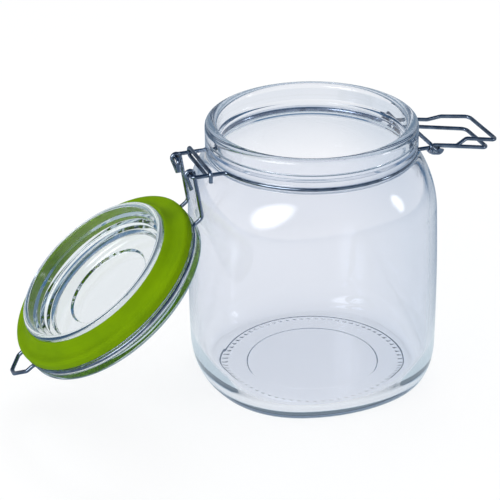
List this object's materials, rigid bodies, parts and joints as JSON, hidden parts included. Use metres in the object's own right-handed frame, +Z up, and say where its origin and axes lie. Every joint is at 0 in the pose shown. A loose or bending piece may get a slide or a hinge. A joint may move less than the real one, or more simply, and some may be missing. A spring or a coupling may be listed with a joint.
{
  "type": "lidded glass canister",
  "caption": "Clip-top storage jar: rounded-square glass body, hinged glass lid with a soft green sealing ring, and an over-centre wire latch that clamps the lid",
  "frame": {"origin": "The middle of the base, on the plane that the foot ring stands on.", "axes": "+Z up; +X from the jar's axis towards the latch, with the hinge and the open lid on -X; Y across, with the part symmetric about the XZ plane but for the hinge tie."},
  "size_m": [0.2512, 0.1236, 0.1375],
  "materials": {
    "jar_glass": "clear polished",
    "lid_glass": "clear polished",
    "seal": "matt",
    "wire": "bright drawn"
  },
  "bodies": {
    "jar": {"glass_jar": "jar_glass", "neck_wire_near": "wire", "neck_wire_far": "wire", "hinge_tie": "wire", "latch_tie": "wire"},
    "lid": {"lid_wire": "wire", "glass_lid": "lid_glass", "gasket": "seal"},
    "lever": {"latch_lever": "wire"},
    "yoke": {"latch_yoke": "wire"}
  },
  "joints": [
    {"name": "lid_hinge", "type": "hinge", "parent": "jar", "child": "lid", "pos_m": [-0.0665, 0, 0.12265], "axis": [0, 1, 0], "range_deg": [0, 217]},
    {"name": "lever_pivot", "type": "hinge", "parent": "jar", "child": "lever", "pos_m": [0.058, 0, 0.1197], "axis": [0, 1, 0], "range_deg": [0, 75]},
    {"name": "yoke_pivot", "type": "hinge", "parent": "lever", "child": "yoke", "pos_m": [0.06031, 0, 0.11929], "axis": [0, 1, 0], "range_deg": [-182.6, 0]}
  ],
  "couplings": [
    {"joint": "yoke_pivot", "follows": "lever_pivot", "ratio": -2.4333}
  ]
}
